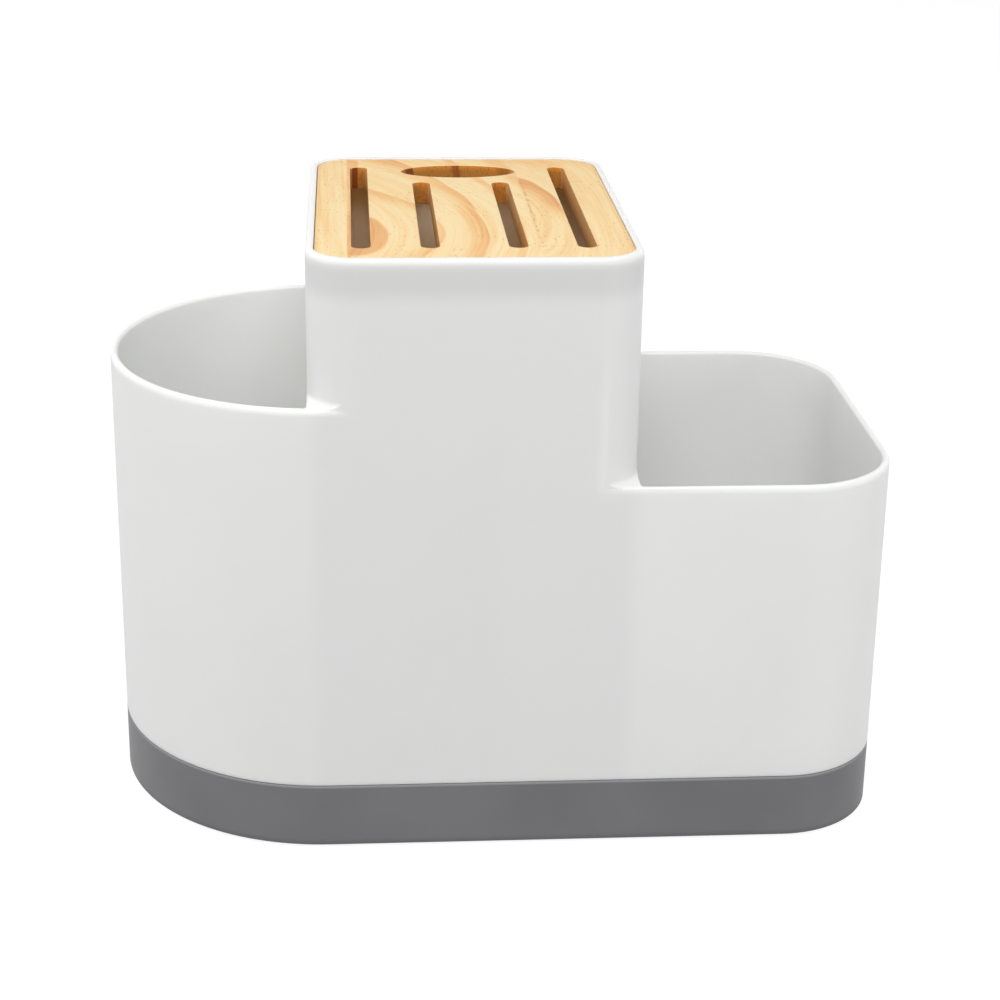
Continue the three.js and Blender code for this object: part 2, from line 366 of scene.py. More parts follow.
def half_depth_at(x, inset):
    """Half of the rack's depth at a place along its length, at the same inset."""
    half = HALF_DEPTH - inset
    reach = ROUND_END_X - LEFT_X - inset
    radius = RIGHT_CORNER_RADIUS - inset
    corner_x = RIGHT_X - inset - radius
    if x < ROUND_END_X:
        return half * math.sqrt(max(0.0, 1 - ((x - ROUND_END_X) / reach) ** 2))
    if x > corner_x:
        return half - radius + math.sqrt(max(0.0, radius ** 2 - (x - corner_x) ** 2))
    return half


def drains_between(x_low, x_high, inset):
    """Cutters for the drain slots that fit on one well's floor."""
    columns = max(1, math.floor((x_high - x_low - 2 * DRAIN_MARGIN) / DRAIN_PITCH_X))
    found = []
    for column in range(columns):
        x = (x_low + x_high) / 2 + (column - (columns - 1) / 2) * DRAIN_PITCH_X
        near_end = min(half_depth_at(x - DRAIN_WIDTH, inset), half_depth_at(x + DRAIN_WIDTH, inset))
        for row in range(DRAIN_ROWS):
            y = (row - (DRAIN_ROWS - 1) / 2) * DRAIN_PITCH_Y
            if abs(y) + DRAIN_LENGTH / 2 + DRAIN_MARGIN < near_end:
                plan = slot_plan(x, y - DRAIN_LENGTH / 2, y + DRAIN_LENGTH / 2, DRAIN_WIDTH)
                found.append(through_rings(plan, SEAM_Z, FLOOR_Z, SLOT_EDGE))
    return found


def tower_hollow_rings():
    """Rings of the tower's hollow: straight across its corners up to the insert's seat, round above."""
    fillet = WELL_FILLET
    low = [(between_posts_plan(WALL + fillet * (1 - s)), FLOOR_Z + fillet * (1 - c)) for s, c in quarter()]
    seat = [(between_posts_plan(WALL), INSERT_Z), (tower_plan(WALL), INSERT_Z)]
    edge = TOWER_INNER_EDGE
    high = [(tower_plan(WALL - edge * (1 - c)), TOWER_TOP_Z - edge * (1 - s)) for s, c in quarter()]
    return low + seat + high + [(tower_plan(WALL - edge), TOWER_TOP_Z + CUT)]


def corner_square(corner_x, corner_y):
    """Square over one corner of the tower, as a function of the inset."""
    reach = TOWER_CORNER_RADIUS
    x = corner_x + math.copysign(reach / 2, TOWER_X - corner_x)
    y = corner_y - math.copysign(reach / 2 - CUT / 2, corner_y)

    def plan(inset):
        half_x = reach / 2 - inset
        half_y = (reach + CUT) / 2 - inset
        low_x, high_x = x - half_x, x + half_x
        low_y, high_y = y - half_y, y + half_y
        return [(low_x, low_y), (high_x, low_y), (high_x, high_y), (low_x, high_y)]
    return plan


def foot_fillets(side_plan, corner_x, rim_z):
    """Fillets where the tower's front and back corners rise out of a side well's rim."""
    size = TOWER_FOOT_FILLET
    rings = [(tower_plan(-size), rim_z - CUT)]
    rings += [(tower_plan(-size * (1 - s)), rim_z + size * (1 - c)) for s, c in quarter()]
    rings.append((tower_plan(WALL / 2), rim_z + size))
    made = loft_object("fillets", rings)

    def rim_plan(inset):
        return side_plan(RIM_OUTER_EDGE / 2 + inset)
    combine(made, loft_object("rim_part", straight_rings(rim_plan, rim_z - WALL, rim_z + CUT)), "INTERSECT")
    corners = []
    for y in (-HALF_DEPTH, HALF_DEPTH):
        corners.append(straight_rings(corner_square(corner_x, y), rim_z - 2 * WALL, rim_z + 2 * CUT))
    combine(made, loft_object("corners", *corners), "INTERSECT")
    return made


def skirt_rings():
    outer = TRAY_WALL + SKIRT_CLEARANCE
    inner = outer + SKIRT_THICKNESS
    top = (SEAM_Z + FLOOR_Z) / 2
    low = SEAM_Z - SKIRT_DEPTH
    rings = [(rack_plan(outer + SKIRT_EDGE * (1 - s)), low + SKIRT_EDGE * (1 - c)) for s, c in quarter()]
    rings += [(rack_plan(outer), top), (rack_plan(inner), top)]
    rings += [(rack_plan(inner - SKIRT_EDGE * (1 - c)), low + SKIRT_EDGE * (1 - s)) for s, c in quarter()]
    return rings


def caddy_body():
    left = rounded_rings(left_plan, SEAM_Z, LEFT_RIM_Z, SEAM_EDGE, RIM_OUTER_EDGE, RIM_OUTER_DROP)
    body = loft_object("caddy_moulding", left)
    right = rounded_rings(right_plan, SEAM_Z, RIGHT_RIM_Z, SEAM_EDGE, RIM_OUTER_EDGE, RIM_OUTER_DROP)
    combine(body, loft_object("right_part", right), "UNION")
    tower = rounded_rings(tower_plan, SEAM_Z + CUT, TOWER_TOP_Z, 0.0, RIM_OUTER_EDGE, RIM_OUTER_DROP)
    combine(body, loft_object("tower_part", tower), "UNION")
    combine(body, foot_fillets(left_plan, TOWER_LEFT_X, LEFT_RIM_Z), "UNION")
    combine(body, foot_fillets(right_plan, TOWER_RIGHT_X, RIGHT_RIM_Z), "UNION")
    hollows = loft_object(
        "hollows",
        hollow_rings(left_well_plan, FLOOR_Z, LEFT_RIM_Z, WALL, WELL_FILLET, RIM_INNER_EDGE),
        hollow_rings(right_well_plan, FLOOR_Z, RIGHT_RIM_Z, WALL, WELL_FILLET, RIM_INNER_EDGE),
        tower_hollow_rings(),
    )
    combine(body, hollows, "DIFFERENCE")
    combine(body, loft_object("skirt", skirt_rings(), closed=True), "UNION")
    under = TRAY_WALL + SKIRT_CLEARANCE + SKIRT_THICKNESS
    drains = (
        drains_between(LEFT_X + under, TOWER_LEFT_X, under)
        + drains_between(TOWER_LEFT_X + WALL, TOWER_RIGHT_X - WALL, under)
        + drains_between(TOWER_RIGHT_X, RIGHT_X - under, under)
    )
    combine(body, loft_object("drains", *drains), "DIFFERENCE")
    smooth(body)
    return body


# The grey tray and its feet

def foot_nodes():
    return [name for name in frame["nodes"] if name.startswith("foot_")]


def drip_tray():
    floor = TRAY_Z + TRAY_FLOOR
    edge = TRAY_TOP_EDGE
    rings = rounded_rings(rack_plan, TRAY_Z, SEAM_Z, TRAY_BOTTOM_EDGE, edge)
    rings += [(rack_plan(TRAY_WALL - edge * (1 - s)), SEAM_Z - edge * (1 - c)) for s, c in quarter()]
    rings += [
        (rack_plan(TRAY_WALL + WELL_FILLET * (1 - c)), floor + WELL_FILLET * (1 - s)) for s, c in quarter()
    ]
    tray = loft_object("tray_moulding", rings)
    recesses = []
    for name in foot_nodes():
        low, high = node_box(name)
        middle = (low + high) / 2
        width = high.x - low.x + 2 * FOOT_CLEARANCE
        recesses.append(
            straight_rings(oval_plan(middle.x, middle.y, width, width), TRAY_Z - CUT, TRAY_Z + FOOT_RECESS)
        )
    combine(tray, loft_object("recesses", *recesses), "DIFFERENCE")
    smooth(tray)
    return tray


def foot(name):
    low, high = node_box(name)
    middle = (low + high) / 2
    width = high.x - low.x
    plan = oval_plan(middle.x, middle.y, width, width)
    made = loft_object(name + "_pad", rounded_rings(plan, low.z, high.z, FOOT_EDGE, 0.0))
    smooth(made)
    return made


# The wooden insert

def knife_insert():
    def slab_plan(inset):
        return tower_plan(WALL + INSERT_GAP + inset)
    rings = rounded_rings(slab_plan, INSERT_Z, INSERT_TOP_Z, INSERT_EDGE, INSERT_EDGE)
    slab = loft_object("knife_slab", rings)
    front_y = -HALF_DEPTH + SLOT_FRONT_MARGIN
    outer_back_y = HALF_DEPTH - OUTER_SLOT_BACK_MARGIN
    outer_offset = TOWER_HALF_WIDTH - SLOT_WIDTH / 2 - OUTER_SLOT_SIDE_MARGIN
    hole_y = HALF_DEPTH - HOLE_BACK_MARGIN - HOLE_DEPTH / 2
    inner_back_y = hole_y - HOLE_DEPTH / 2 - INNER_SLOT_TO_HOLE
    plans = [oval_plan(TOWER_X, hole_y, HOLE_WIDTH, HOLE_DEPTH)]
    for side in (-1, 1):
        plans.append(slot_plan(TOWER_X + side * outer_offset, front_y, outer_back_y, SLOT_WIDTH))
        plans.append(slot_plan(TOWER_X + side * INNER_SLOT_OFFSET, front_y, inner_back_y, SLOT_WIDTH))
    cutters = [through_rings(plan, INSERT_Z, INSERT_TOP_Z, SLOT_EDGE) for plan in plans]
    combine(slab, loft_object("slots", *cutters), "DIFFERENCE")
    smooth(slab)
    return slab


# Materials

class Nodes:
    """A material's node tree with short calls to make and link nodes."""

    def __init__(self, name):
        self.material = bpy.data.materials.new(name)
        self.material.use_nodes = True
        self.tree = self.material.node_tree
        self.tree.nodes.clear()
        self.output = self.add("ShaderNodeOutputMaterial")

    def add(self, kind, **settings):
        node = self.tree.nodes.new(kind)
        for key, value in settings.items():
            setattr(node, key, value)
        return node

    def link(self, value, socket):
        """Feeds a socket from another one, or sets it to a constant."""
        if isinstance(value, bpy.types.NodeSocket):
            self.tree.links.new(value, socket)
        else:
            socket.default_value = value

    def math(self, operation, a, b=0.0):
        node = self.add("ShaderNodeMath", operation=operation)
        self.link(a, node.inputs[0])
        self.link(b, node.inputs[1])
        return node.outputs[0]

    def step(self, value, low, high):
        """0 below low, 1 above high and smooth between."""
        node = self.add("ShaderNodeMapRange", interpolation_type="SMOOTHSTEP")
        self.link(value, node.inputs["Value"])
        self.link(low, node.inputs["From Min"])
        self.link(high, node.inputs["From Max"])
        return node.outputs["Result"]

    def mix(self, factor, a, b):
        """Colour a turned towards colour b."""
        node = self.add("ShaderNodeMix", data_type="RGBA")
        self.link(factor, node.inputs["Factor"])
        for colour, socket in ((a, node.inputs[6]), (b, node.inputs[7])):
            self.link((*colour, 1.0) if isinstance(colour, tuple) else colour, socket)
        return node.outputs[2]

    def place(self, origin=(0, 0, 0), scale=(1, 1, 1)):
        """Place on the object in millimetres from an origin, stretched by a scale."""
        coordinates = self.add("ShaderNodeTexCoord")
        mapping = self.add("ShaderNodeMapping")
        self.link(coordinates.outputs["Object"], mapping.inputs["Vector"])
        self.link([-o * s for o, s in zip(origin, scale)], mapping.inputs["Location"])
        self.link([s / MM for s in scale], mapping.inputs["Scale"])
        return mapping.outputs["Vector"]

    def split(self, vector):
        node = self.add("ShaderNodeSeparateXYZ")
        self.link(vector, node.inputs[0])
        return node.outputs

    def join(self, x, y, z):
        node = self.add("ShaderNodeCombineXYZ")
        for value, socket in zip((x, y, z), node.inputs):
            self.link(value, socket)
        return node.outputs[0]

    def noise(self, vector, scale, detail, roughness=0.5):
        node = self.add("ShaderNodeTexNoise")
        self.link(vector, node.inputs["Vector"])
        self.link(scale, node.inputs["Scale"])
        self.link(detail, node.inputs["Detail"])
        self.link(roughness, node.inputs["Roughness"])
        return node.outputs["Fac"]

    def ramp(self, value, stops):
        """Colours along a value from 0 to 1, as (position, colour) pairs."""
        node = self.add("ShaderNodeValToRGB")
        elements = node.color_ramp.elements
        while len(elements) < len(stops):
            elements.new(1.0)
        for element, (position, colour) in zip(elements, stops):
            element.position = position
            element.color = (*colour, 1.0)
        self.link(value, node.inputs["Fac"])
        return node.outputs["Color"]

    def bump(self, height, strength, distance):
        node = self.add("ShaderNodeBump")
        self.link(strength, node.inputs["Strength"])
        self.link(distance, node.inputs["Distance"])
        self.link(height, node.inputs["Height"])
        return node.outputs["Normal"]

    def finish(self, colour, roughness, normal, **others):
        shader = self.add("ShaderNodeBsdfPrincipled")
        self.link(colour, shader.inputs["Base Color"])
        self.link(roughness, shader.inputs["Roughness"])
        self.link(normal, shader.inputs["Normal"])
        for key, value in others.items():
            self.link(value, shader.inputs[key.replace("_", " ")])
        self.tree.links.new(shader.outputs["BSDF"], self.output.inputs["Surface"])
        return self.material


# Moulded plastic: colours, some of them painted shade and a painted highlight, then a painted glow that
# stands in for the light that comes through the walls
WHITE = (0.862, 0.865, 0.848)
WHITE_SHADE = (0.852, 0.855, 0.838)
# Painted shade: the white turned darker across the tower's width, where the tower stands behind the wall and
# less light comes through it.
WHITE_PAINTED_BACKED_SHADE = (0.828, 0.831, 0.817)
# Painted shade on the tower's walls where the wood sits behind them.
WHITE_PAINTED_SHADE_BY_WOOD = (0.748, 0.751, 0.738)
# Painted warm shade inside the top of the tower, standing in for light reflected from the wood.
WHITE_PAINTED_WARM_SHADE = (0.86, 0.78, 0.64)
GREY = (0.165, 0.165, 0.170)
GREY_SHADE = (0.140, 0.140, 0.145)
# Painted highlight along the tray's top edge.
GREY_PAINTED_HIGHLIGHT = (0.25, 0.25, 0.255)
# Painted shade along the tray's bottom edge.
GREY_PAINTED_SHADE_BOTTOM = (0.115, 0.115, 0.12)
SUBSURFACE_DEPTH = 2.0
# A painted glow inside the tower, standing in for light that comes through the walls and off the wood.
PAINTED_GLOW_COLOUR = (1.0, 0.42, 0.08, 1.0)
PAINTED_GLOW_STRENGTH = 0.035

# Its surface: cloud and grain sizes, the clouds' part of the noise, the grain's bump, and the gloss
CLOUD_SIZE = 50.0
CLOUD_SPAN = (0.35, 0.7)
WHITE_GRAIN = 0.35
GREY_GRAIN = 0.3
GRAIN_STRENGTH = 0.03
GRAIN_HEIGHT = 0.05
PLASTIC_ROUGHNESS = 0.5
PLASTIC_GLOSS_SPREAD = 0.1

# Where the painted shades, the painted highlight and the painted warm light start and fade, as margins to the
# tower's side, the wood, the rim, the wall, the posts, the seam and the tray's underside
PAINTED_SHADE_BACKED_OUT = 2.0
PAINTED_SHADE_BACKED_IN = 6.0
PAINTED_SHADE_BY_WOOD_RISE = 7.0
PAINTED_SHADE_BY_WOOD_FALL = (1.0, 4.5)
IN_WALL = (0.6, 0.2)
PAST_POST = (1.0, 2.0)
PAINTED_WARM_START = 2.0
PAINTED_WARM_FADE = 25.0
PAINTED_WARM_DEPTH = 75.0
TRAY_PAINTED_HIGHLIGHT_SPAN = (1.3, 0.5)
TRAY_PAINTED_SHADE_HEIGHT = 2.5

RUBBER = (0.028, 0.028, 0.030)
RUBBER_WORN = (0.060, 0.060, 0.062)
RUBBER_DUST_SCALE = 0.6
RUBBER_WEAR_SPAN = (0.5, 0.8)
RUBBER_GRAIN_SCALE = 3.0
RUBBER_GRAIN_STRENGTH = 0.25
RUBBER_GRAIN_HEIGHT = 0.1
RUBBER_ROUGHNESS = 0.72
RUBBER_GLOSS_SPREAD = 0.15


def plastic_grain(nodes, place, colour, shade, grain_size):
    """Faint cloudy colour, uneven gloss and a fine moulded grain, as (colour, roughness, normal)."""
    cloud = nodes.noise(place, 1 / CLOUD_SIZE, detail=3.0)
    grain = nodes.noise(place, 1 / grain_size, detail=2.0)
    tint = nodes.mix(nodes.step(cloud, *CLOUD_SPAN), colour, shade)
    spread = nodes.math("MULTIPLY", grain, PLASTIC_GLOSS_SPREAD)
    gloss = nodes.math("ADD", spread, PLASTIC_ROUGHNESS - PLASTIC_GLOSS_SPREAD / 2)
    return tint, gloss, nodes.bump(grain, GRAIN_STRENGTH, GRAIN_HEIGHT * MM)


def grey_plastic():
    """Grey, with a painted highlight along the top edge and painted shade along the bottom."""
    nodes = Nodes("grey_plastic")
    place = nodes.place()
    colour, gloss, normal = plastic_grain(nodes, place, GREY, GREY_SHADE, GREY_GRAIN)
    z = nodes.split(place)[2]
    # Painted highlight just under the seam.
    painted_highlight = nodes.step(z, *(SEAM_Z - margin for margin in TRAY_PAINTED_HIGHLIGHT_SPAN))
    colour = nodes.mix(painted_highlight, colour, GREY_PAINTED_HIGHLIGHT)
    # Painted shade along the tray's bottom edge.
    colour = nodes.mix(nodes.step(z, TRAY_Z + TRAY_PAINTED_SHADE_HEIGHT, TRAY_Z), colour, GREY_PAINTED_SHADE_BOTTOM)
    return nodes.finish(colour, gloss, normal)


def painted_warm_light_mask(nodes, from_middle, y, z):
    """Mask of the painted warm shade and painted glow: 1 on the tower's inside near the wood, fading to 0
    further down.
    """
    from_side = nodes.math("SUBTRACT", TOWER_HALF_WIDTH, from_middle)
    from_front = nodes.math("SUBTRACT", HALF_DEPTH, nodes.math("ABSOLUTE", y))
    nearest = nodes.math("MINIMUM", from_side, from_front)
    both = nodes.math("ADD", from_side, from_front)
    past_post = nodes.step(both, *(TOWER_CORNER_RADIUS + margin for margin in PAST_POST))
    past_wall = nodes.step(nearest, *(WALL - margin for margin in IN_WALL))
    below_wood = nodes.step(z, INSERT_Z, INSERT_Z - PAINTED_WARM_START)
    not_deep = nodes.step(z, INSERT_Z - PAINTED_WARM_DEPTH, INSERT_Z - PAINTED_WARM_FADE)
    in_plan = nodes.math("MULTIPLY", past_wall, past_post)
    return nodes.math("MULTIPLY", in_plan, nodes.math("MULTIPLY", below_wood, not_deep))


def white_plastic():
    """Slightly translucent white, with painted shade: a little darker where the tower and its wood stand
    behind it, and with a painted warm shade and a faint painted glow, standing in for light from the wood, at
    the top of the tower's inside."""
    nodes = Nodes("white_plastic")
    place = nodes.place()
    colour, gloss, normal = plastic_grain(nodes, place, WHITE, WHITE_SHADE, WHITE_GRAIN)
    x, y, z = nodes.split(place)
    from_middle = nodes.math("ABSOLUTE", nodes.math("SUBTRACT", x, TOWER_X))
    # Painted shade: darker across the tower's width.
    painted_backed_shade = nodes.step(from_middle, TOWER_HALF_WIDTH + PAINTED_SHADE_BACKED_OUT, TOWER_HALF_WIDTH - PAINTED_SHADE_BACKED_IN)
    colour = nodes.mix(painted_backed_shade, colour, WHITE_PAINTED_BACKED_SHADE)
    # Painted shade: a band round the tower from a little below the wood to just under the rim.
    above = nodes.step(z, INSERT_Z - PAINTED_SHADE_BY_WOOD_RISE, INSERT_Z)
    below = nodes.step(z, *(TOWER_TOP_Z - margin for margin in PAINTED_SHADE_BY_WOOD_FALL))
    colour = nodes.mix(nodes.math("MULTIPLY", above, below), colour, WHITE_PAINTED_SHADE_BY_WOOD)
    # Painted warm shade and a faint painted glow inside the tower, near the wood.
    inside = painted_warm_light_mask(nodes, from_middle, y, z)
    colour = nodes.mix(inside, colour, WHITE_PAINTED_WARM_SHADE)
    return nodes.finish(
        colour, gloss, normal,
        Subsurface_Weight=1.0, Subsurface_Radius=(1.0, 1.0, 1.0), Subsurface_Scale=SUBSURFACE_DEPTH * MM,
        Emission_Color=PAINTED_GLOW_COLOUR, Emission_Strength=nodes.math("MULTIPLY", inside, PAINTED_GLOW_STRENGTH),
    )


def rubber():
    nodes = Nodes("foot_rubber")
    place = nodes.place()
    dust = nodes.noise(place, RUBBER_DUST_SCALE, detail=4.0)
    grain = nodes.noise(place, RUBBER_GRAIN_SCALE, detail=2.0)
    tint = nodes.mix(nodes.step(dust, *RUBBER_WEAR_SPAN), RUBBER, RUBBER_WORN)
    gloss = nodes.math("ADD", nodes.math("MULTIPLY", dust, RUBBER_GLOSS_SPREAD), RUBBER_ROUGHNESS)
    return nodes.finish(tint, gloss, nodes.bump(grain, RUBBER_GRAIN_STRENGTH, RUBBER_GRAIN_HEIGHT * MM))


# Pine: three boards glued edge to edge. On the middle one the growth rings are nested arches, steeper to the
# left, with a dark patch near the front; on the right one they are slender ovals; the left one is straight.
# Places are in millimetres from the middle of the slab's top.
PINE_PALE = (0.92, 0.74, 0.424)
PINE_MID = (0.89, 0.62, 0.295)
PINE_BAND = (0.838, 0.48, 0.191)
PINE_LINE = (0.725, 0.357, 0.135)
PINE_DARKEST = 1.4
PINE_RESIN = (0.58, 0.28, 0.08)
# The cut colours are partly the end grain's own darker tone and partly painted shade down in the slots and
# the hole; the top one is lighter, where that painted shade fades near the slab's top.
PINE_CUT_AND_SHADE = (0.53, 0.215, 0.035)
PINE_CUT_TOP_LESS_SHADE = (0.78, 0.30, 0.035)
PINE_CUT_BAND = (0.28, 0.06, 0.008)
PINE_PORE = (0.22, 0.08, 0.015)

# Boards and growth rings
LEFT_GLUE_X = -39.7
RIGHT_GLUE_X = 20.5
LEFT_GLUE_SOFT = 0.2
RIGHT_GLUE_SOFT = 0.3
GLUE_JAG = 2.0
GLUE_JAG_SCALE = 0.3
GLUE_WIDTH = 1.4
ARCH_TOP = (-19.2, -35.0)
ARCH_SPREAD = (0.257, 0.333)
OVAL_HEART = (18.0, -20.0)
OVAL_STRETCH = 4.2
OVAL_FADE = (-25.0, 5.0)
OVAL_FADED = (0.15, 0.15, 0.15)
PATCH_PLACE = (-38.0, -40.0)
PATCH_STRETCH = 2.3
PATCH_EDGE = (12.4, 10.4)
PATCH_DARK = 1.1
STREAK_X = -35.5
STREAK_SOFT = 0.5
STREAK_FADE = (10.0, 40.0)
STREAK_DARK = 0.75
LEFT_BOARD_DARK = (0.1, 0.1, 0.1)
RING_REACH = 60.0
RING_WANDER = 3.0
RING_WANDER_SCALE = 0.03
RING_LEAN = 0.15

# Grain lines, each kind with its pitch and length, the part of the noise that shows, and how dark it is
STRAIGHT_LEAN = 0.02
GRAIN_BOW = 0.0042
FINE_LINES = (1.2, 60.0)
FINE_SPAN = (0.46, 0.66)
FINE_DARK = 0.26
BROAD_LINES = (5.0, 90.0)
BROAD_SPAN = (0.42, 0.68)
BROAD_DARK = 0.3
SIDE_SPAN = (47.6, 49.2)
SIDE_DARK = 0.5
BACK_SPAN = (50.0, 68.0)
BACK_DARK = 0.2

# Resin dashes, in clusters and along one line
SPECKS = (0.8, 4.0)
SPECK_SPAN = (0.59, 0.67)
CLUSTER_SCALE = 0.05
CLUSTER_SPAN = (0.35, 0.6)
RESIN_LINE = (21.3, -45.0, 34.0)
RESIN_LINE_SOFT = 0.4
RESIN_END_SOFT = 3.0
RESIN_LINE_SPAN = (0.4, 0.55)
RESIN_SHARE = 0.55

# Cut faces, by how far they face up and along the grain, with painted shade that fades near the slab's top,
# and paler round the outside of the slab
UPRIGHT_SPAN = (0.6, 0.1)
END_GRAIN_SPAN = (0.45, 0.75)
PORE_STRETCH = (1.2, 0.6, 0.9)
PORE_SPAN = (0.54, 0.64)
PORE_SHARE = 0.42
CUT_SHADE_FADE_SPAN = (-2.5, -0.4)
CUT_BAND_SPAN = (0.4, 0.75)
SIDE_CUT_PALE = 0.35
OUTER_SIDE_SPAN = (45.0, 47.0)
OUTER_END_SPAN = (62.0, 64.0)
OUTER_PALE = 0.7

PINE_ROUGHNESS = 0.45
PINE_GLOSS_SPREAD = 0.2
PINE_GRAIN_STRENGTH = 0.12
PINE_GRAIN_HEIGHT = 0.1

# How dark the growth rings are at distances from their middle, in millimetres across the grain
ARCH_RINGS = [
    (0.0, 0.1), (6.0, 0.15), (8.5, 0.55), (10.0, 0.85), (10.5, 0.1), (18.0, 0.1),
    (21.0, 0.5), (24.4, 0.9), (24.9, 0.05), (33.5, 0.05), (34.8, 0.6), (36.3, 0.65), (36.6, 0.05),
    (43.0, 0.1), (45.5, 0.55), (48.6, 0.6), (49.2, 0.2), (60.0, 0.25),
]
OVAL_RINGS = [
    (0.0, 0.2), (8.0, 0.25), (10.5, 0.65), (11.5, 1.1), (14.3, 1.25), (14.8, 0.15),
    (19.5, 0.2), (23.0, 0.4), (25.5, 0.35), (27.0, 0.2), (60.0, 0.2),
]


def square(nodes, value):
    return nodes.math("MULTIPLY", value, value)


def share(nodes, value, span, amount):
    """Grows from 0 to an amount as a value goes through a span."""
    return nodes.math("MULTIPLY", nodes.step(value, *span), amount)


def between(nodes, value, low, high, soft):
    """1 between two limits, with soft ends."""
    rise = nodes.step(value, low - soft, low + soft)
    fall = nodes.step(value, high + soft, high - soft)
    return nodes.math("MULTIPLY", rise, fall)


def wandered(nodes, place, radius):
    """A ring's distance, made a little uneven and leaning with depth."""
    wander = nodes.math("SUBTRACT", nodes.noise(place, RING_WANDER_SCALE, detail=1.0), 0.5)
    lean = nodes.math("MULTIPLY", nodes.split(place)[2], RING_LEAN)
    return nodes.math("ADD", nodes.math("ADD", radius, nodes.math("MULTIPLY", wander, RING_WANDER)), lean)


def arch_radius(nodes, place):
    """Which of the nested arches a place is on, by the distance of the arch's top from the first."""
    x, y, _ = nodes.split(place)
    across = nodes.math("SUBTRACT", x, ARCH_TOP[0])
    along = nodes.math("SUBTRACT", y, ARCH_TOP[1])
    behind = nodes.math("MULTIPLY", square(nodes, nodes.math("MAXIMUM", along, 0.0)), ARCH_SPREAD[0])
    before = nodes.math("MULTIPLY", square(nodes, nodes.math("MINIMUM", along, 0.0)), ARCH_SPREAD[1])
    squared = nodes.math("ADD", square(nodes, across), nodes.math("ADD", behind, before))
    radius = nodes.math("MULTIPLY", nodes.math("ADD", across, nodes.math("SQRT", squared)), 0.5)
    return wandered(nodes, place, radius)


def oval_radius(nodes, place, heart, stretch):
    x, y, _ = nodes.split(place)
    across = nodes.math("SUBTRACT", x, heart[0])
    along = nodes.math("DIVIDE", nodes.math("SUBTRACT", y, heart[1]), stretch)
    squared = nodes.math("ADD", square(nodes, across), square(nodes, along))
    return wandered(nodes, place, nodes.math("SQRT", squared))


def ring_darkness(nodes, radius, rings):
    stops = [(at / RING_REACH, (dark, dark, dark)) for at, dark in rings]
    return nodes.ramp(nodes.math("DIVIDE", radius, RING_REACH), stops)


def drawn_out(nodes, across, y, z, pitch, length):
    """Noise drawn out along the grain, with lines about a pitch apart."""
    vector = nodes.join(
        nodes.math("DIVIDE", across, pitch), nodes.math("DIVIDE", y, length), nodes.math("DIVIDE", z, length)
    )
    return nodes.noise(vector, 1.0, detail=3.0, roughness=0.6)


def board_rings(nodes, place, oval, on_left, on_right):
    """How dark the growth rings make the three boards."""
    x, y, _ = nodes.split(place)
    oval_rings = nodes.mix(nodes.step(y, *OVAL_FADE), OVAL_FADED, ring_darkness(nodes, oval, OVAL_RINGS))
    arch_rings = ring_darkness(nodes, arch_radius(nodes, place), ARCH_RINGS)
    rings = nodes.mix(on_right, arch_rings, oval_rings)
    patch = oval_radius(nodes, place, PATCH_PLACE, PATCH_STRETCH)
    rings = nodes.math("MAXIMUM", rings, share(nodes, patch, PATCH_EDGE, PATCH_DARK))
    streak = between(nodes, x, LEFT_GLUE_X, STREAK_X, STREAK_SOFT)
    streak = nodes.math("MULTIPLY", streak, nodes.step(y, *STREAK_FADE))
    glue = between(nodes, x, LEFT_GLUE_X, LEFT_GLUE_X + GLUE_WIDTH, STREAK_SOFT)
    lengthwise = nodes.math("MULTIPLY", nodes.math("MAXIMUM", streak, glue), STREAK_DARK)
    return nodes.mix(on_left, nodes.math("MAXIMUM", rings, lengthwise), LEFT_BOARD_DARK)


def resin_dashes(nodes, place, grain):
    """1 on resin dashes, which come in clusters and along one line."""
    x, y, z = nodes.split(place)
    specks = drawn_out(nodes, grain, y, z, *SPECKS)
    clusters = nodes.step(nodes.noise(place, CLUSTER_SCALE, detail=1.0), *CLUSTER_SPAN)
    dashes = nodes.math("MULTIPLY", nodes.step(specks, *SPECK_SPAN), clusters)
    line_x, line_front, line_back = RESIN_LINE
    line = between(nodes, x, line_x - RESIN_LINE_SOFT, line_x + RESIN_LINE_SOFT, RESIN_LINE_SOFT)
    line = nodes.math("MULTIPLY", line, between(nodes, y, line_front, line_back, RESIN_END_SOFT))
    line = nodes.math("MULTIPLY", line, nodes.step(specks, *RESIN_LINE_SPAN))
    return nodes.math("MAXIMUM", dashes, line)


def cut_faces(nodes, place, rings, colour):
    """The wood's colour, turned darker on the sides of the slab, its slots and its hole: partly the darker
    end grain, partly painted shade.
    """
    x, y, z = nodes.split(place)
    facing = nodes.split(nodes.add("ShaderNodeNewGeometry").outputs["Normal"])
    upright = nodes.step(nodes.math("ABSOLUTE", facing[2]), *UPRIGHT_SPAN)
    end_grain = nodes.step(nodes.math("ABSOLUTE", facing[1]), *END_GRAIN_SPAN)
    pores = nodes.noise(nodes.place(scale=PORE_STRETCH), 1.0, detail=2.0)
    # Painted shade: cut faces darker further down, lighter near the slab's top.
    end_colour = nodes.mix(nodes.step(z, *CUT_SHADE_FADE_SPAN), PINE_CUT_AND_SHADE, PINE_CUT_TOP_LESS_SHADE)
    end_colour = nodes.mix(nodes.step(rings, *CUT_BAND_SPAN), end_colour, PINE_CUT_BAND)
    end_colour = nodes.mix(share(nodes, pores, PORE_SPAN, PORE_SHARE), end_colour, PINE_PORE)
    side_colour = nodes.mix(SIDE_CUT_PALE, PINE_CUT_AND_SHADE, colour)
    cut_colour = nodes.mix(end_grain, side_colour, end_colour)
    at_side = nodes.step(nodes.math("ABSOLUTE", x), *OUTER_SIDE_SPAN)
    at_end = nodes.step(nodes.math("ABSOLUTE", y), *OUTER_END_SPAN)
    outside = nodes.math("MULTIPLY", nodes.math("MAXIMUM", at_side, at_end), OUTER_PALE)
    return nodes.mix(upright, colour, nodes.mix(outside, cut_colour, colour))


